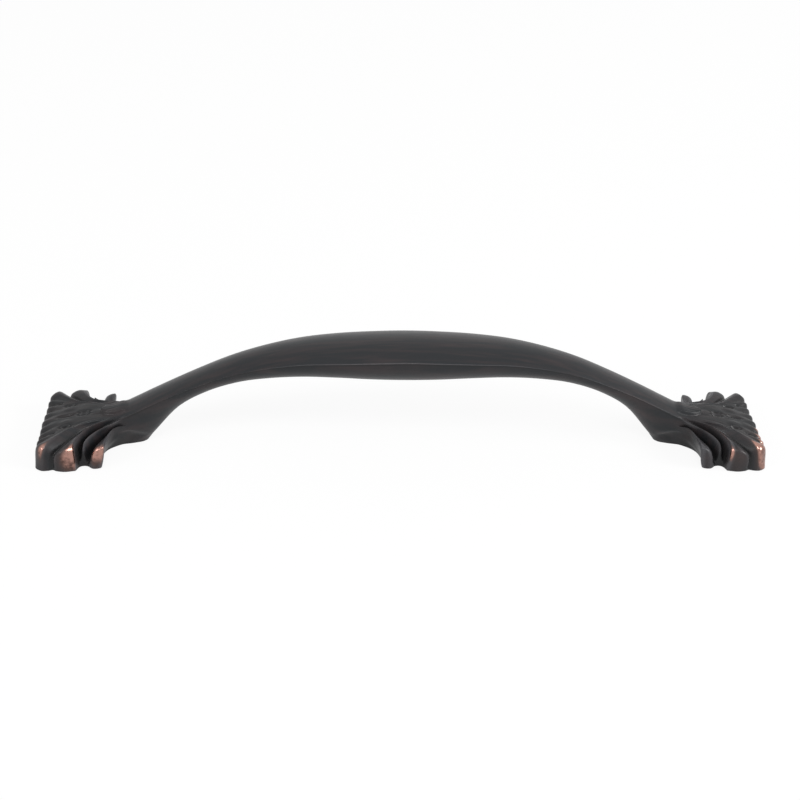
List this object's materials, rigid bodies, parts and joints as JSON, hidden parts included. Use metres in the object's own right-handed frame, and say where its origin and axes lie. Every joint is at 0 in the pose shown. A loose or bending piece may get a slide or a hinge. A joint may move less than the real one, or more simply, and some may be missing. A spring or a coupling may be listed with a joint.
{
  "type": "arch pull",
  "caption": "Arched cabinet pull cast in one piece, with acanthus leaf ends, fixed from behind by machine screws.",
  "frame": {"origin": "on the mounting plane, midway between the two screw holes", "axes": "+X along the pull, +Y across it, +Z away from the drawer front"},
  "size_m": [0.161, 0.0244, 0.0267],
  "materials": {
    "rubbed_bronze": "oil rubbed bronze over zinc die casting, satin, worn to copper on the leaf tips"
  },
  "bodies": {
    "root": {"arch_pull": "rubbed_bronze"}
  },
  "joints": []
}
